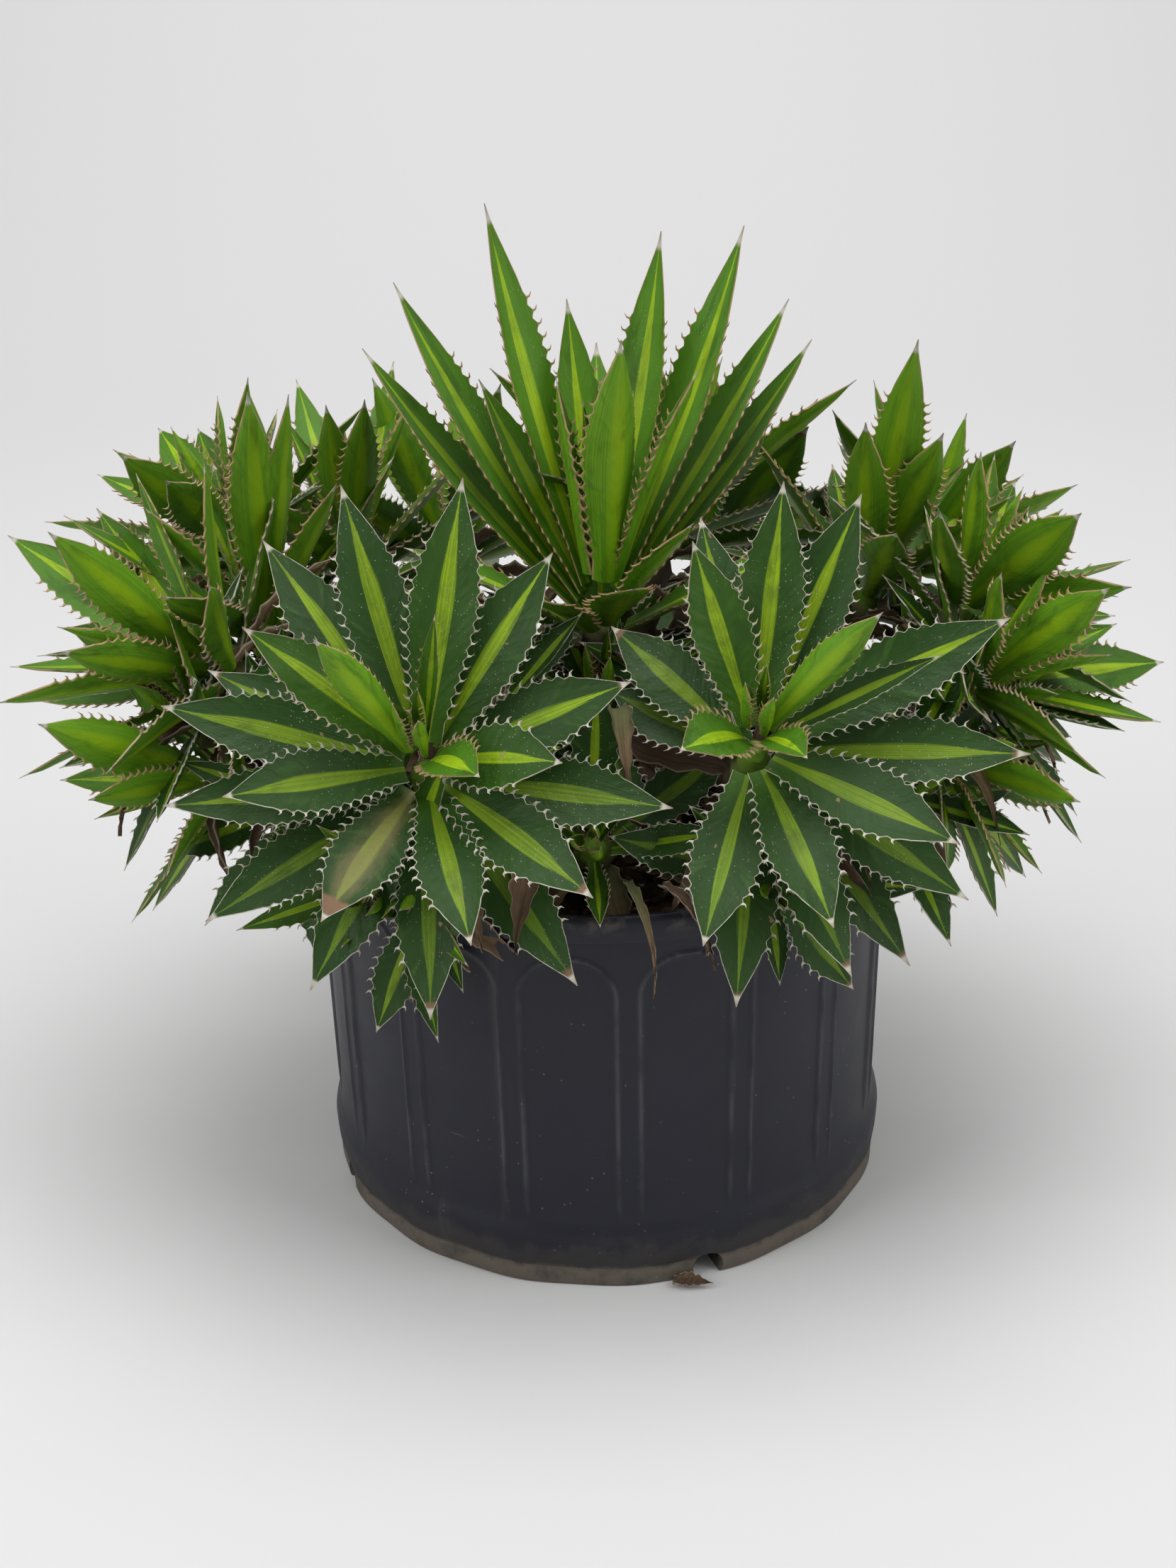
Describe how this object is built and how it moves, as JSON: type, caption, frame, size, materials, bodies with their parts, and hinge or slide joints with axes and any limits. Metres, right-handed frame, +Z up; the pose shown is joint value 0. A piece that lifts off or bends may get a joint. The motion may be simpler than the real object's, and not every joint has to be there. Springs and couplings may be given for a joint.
{
  "type": "potted agave",
  "caption": "Crowded clump of variegated agave rosettes with toothed leaves, growing over the rim of a round ribbed nursery pot.",
  "frame": {"origin": "centre of the pot's flat underside, on the surface the pot stands on", "axes": "+Z up; -Y towards the plant's best side; +X to the right of that side"},
  "size_m": [0.7075, 0.612, 0.5994],
  "materials": {
    "leaf": "satin",
    "stem": "matte",
    "soil": "matte",
    "pot": "satin"
  },
  "bodies": {
    "root": {"leaf_front_left_01": "leaf", "leaf_front_left_02": "leaf", "leaf_front_left_03": "leaf", "leaf_front_left_04": "leaf", "leaf_front_left_05": "leaf", "leaf_front_left_06": "leaf", "leaf_front_left_07": "leaf", "leaf_front_left_08": "leaf", "leaf_front_left_09": "leaf", "leaf_front_left_10": "leaf", "leaf_front_left_11": "leaf", "leaf_front_left_12": "leaf", "leaf_front_left_13": "leaf", "leaf_front_left_14": "leaf", "leaf_front_left_15": "leaf", "leaf_front_left_16": "leaf", "leaf_front_left_17": "leaf", "leaf_front_left_18": "leaf", "leaf_front_left_19": "leaf", "leaf_front_left_20": "leaf", "leaf_front_left_21": "leaf", "leaf_front_left_22": "leaf", "leaf_front_right_01": "leaf", "leaf_front_right_02": "leaf", "leaf_front_right_03": "leaf", "leaf_front_right_04": "leaf", "leaf_front_right_05": "leaf", "leaf_front_right_06": "leaf", "leaf_front_right_07": "leaf", "leaf_front_right_08": "leaf", "leaf_front_right_09": "leaf", "leaf_front_right_10": "leaf", "leaf_front_right_11": "leaf", "leaf_front_right_12": "leaf", "leaf_front_right_13": "leaf", "leaf_front_right_14": "leaf", "leaf_front_right_15": "leaf", "leaf_front_right_16": "leaf", "leaf_front_right_17": "leaf", "leaf_front_right_18": "leaf", "leaf_front_right_19": "leaf", "pot": "pot", "pup_front": "leaf", "rosette_back": "leaf", "rosette_back_left": "leaf", "rosette_centre": "leaf", "rosette_far_left": "leaf", "rosette_far_right": "leaf", "rosette_left": "leaf", "rosette_left_back": "leaf", "rosette_left_low": "leaf", "rosette_rear_left": "leaf", "rosette_rear_right": "leaf", "rosette_right": "leaf", "rosette_right_back": "leaf", "rosette_right_front": "leaf", "rosette_right_low": "leaf", "soil": "soil", "stem_front_left": "stem", "stem_front_right": "stem"}
  },
  "joints": []
}
